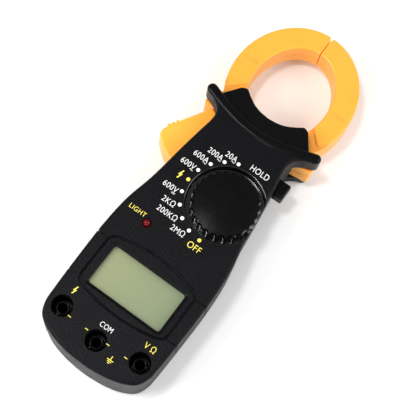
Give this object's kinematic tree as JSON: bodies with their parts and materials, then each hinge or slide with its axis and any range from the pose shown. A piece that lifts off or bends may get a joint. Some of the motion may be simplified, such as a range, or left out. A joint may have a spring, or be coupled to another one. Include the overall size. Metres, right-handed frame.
{
  "type": "clamp meter",
  "caption": "Hand-held digital clamp meter with a split ring jaw, trigger, function dial, display, hold key and test-lead sockets.",
  "frame": {"origin": "on the flat rear face, on the centre line, 105 mm above the bottom edge", "axes": "+Z out of the front face, +Y towards the jaws, +X to the right as the display is read"},
  "size_m": [0.0729, 0.2098, 0.0328],
  "materials": {
    "black_plastic": "fine moulded texture, satin black",
    "knob_plastic": "satin black",
    "orange_plastic": "smooth satin amber-orange",
    "steel": "zinc-plated",
    "core_iron": "stacked iron laminations",
    "copper_wire": "enamelled copper windings",
    "white_plastic": "natural nylon",
    "brass": "bright brass",
    "board_green": "solder-masked glass epoxy",
    "lcd_glass": "grey-green reflective liquid-crystal panel",
    "window_clear": "clear polished window",
    "zebra_rubber": "layered conductive silicone",
    "led_red": "clear dark red epoxy",
    "chip_black": "moulded epoxy",
    "battery_wrap": "plain blue-grey wrap"
  },
  "bodies": {
    "case": {"front_case": "black_plastic", "rear_case": "black_plastic", "fixed_jaw_front_shell": "orange_plastic", "fixed_jaw_rear_shell": "orange_plastic", "case_screw_1": "steel", "case_screw_2": "steel", "case_screw_3": "steel", "case_screw_4": "steel", "fixed_jaw_screw": "steel", "jaw_pivot_pin": "steel", "jaw_return_spring": "steel", "battery_bridge": "steel", "battery_contact_positive": "steel", "battery_contact_negative": "steel", "battery_spring_1": "steel", "battery_spring_2": "steel", "fixed_jaw_core": "core_iron", "fixed_jaw_coil": "copper_wire", "fixed_jaw_bobbin": "white_plastic", "detent_ring": "white_plastic", "lcd_holder": "white_plastic", "live_jack": "brass", "com_jack": "brass", "volt_jack": "brass", "main_board": "board_green", "lcd_panel": "lcd_glass", "lcd_window": "window_clear", "zebra_strip": "zebra_rubber", "light_led": "led_red", "meter_chip": "chip_black", "hold_switch": "chip_black", "battery_1": "battery_wrap", "battery_2": "battery_wrap"},
    "moving_jaw": {"moving_jaw_front_shell": "orange_plastic", "moving_jaw_rear_shell": "orange_plastic", "moving_jaw_core": "core_iron", "moving_jaw_bobbin": "white_plastic", "moving_jaw_coil": "copper_wire", "moving_jaw_screw": "steel", "trigger": "orange_plastic"},
    "dial": {"dial_knob": "knob_plastic", "dial_rotor": "white_plastic", "dial_wiper_1": "brass", "dial_wiper_2": "brass", "dial_wiper_3": "brass", "detent_ball_1": "steel", "detent_ball_2": "steel", "detent_spring_1": "steel", "detent_spring_2": "steel"},
    "hold_key": {"hold_button": "black_plastic"},
    "battery_door": {"battery_cover": "black_plastic", "battery_cover_screw": "steel"}
  },
  "joints": [
    {"name": "jaw_pivot", "type": "hinge", "parent": "case", "child": "moving_jaw", "pos_m": [-0.017, 0.03, 0.0132], "axis": [0, 0, 1], "range_deg": [0, 20], "stiffness_Nm_per_rad": 0.3, "springref_deg": -51.57},
    {"name": "dial_turn", "type": "hinge", "parent": "case", "child": "dial", "pos_m": [0.0094, -0.0055, 0.026], "axis": [0, 0, 1], "range_deg": [-162, 0]},
    {"name": "hold_press", "type": "slide", "parent": "case", "child": "hold_key", "axis": [-1, 0, 0], "range_m": [0, 0.001], "stiffness_N_per_m": 1500, "springref_m": -0.0005},
    {"name": "battery_door_swing", "type": "hinge", "parent": "case", "child": "battery_door", "pos_m": [0, -0.084, 0.00015], "axis": [-1, 0, 0], "range_deg": [0, 60]}
  ]
}
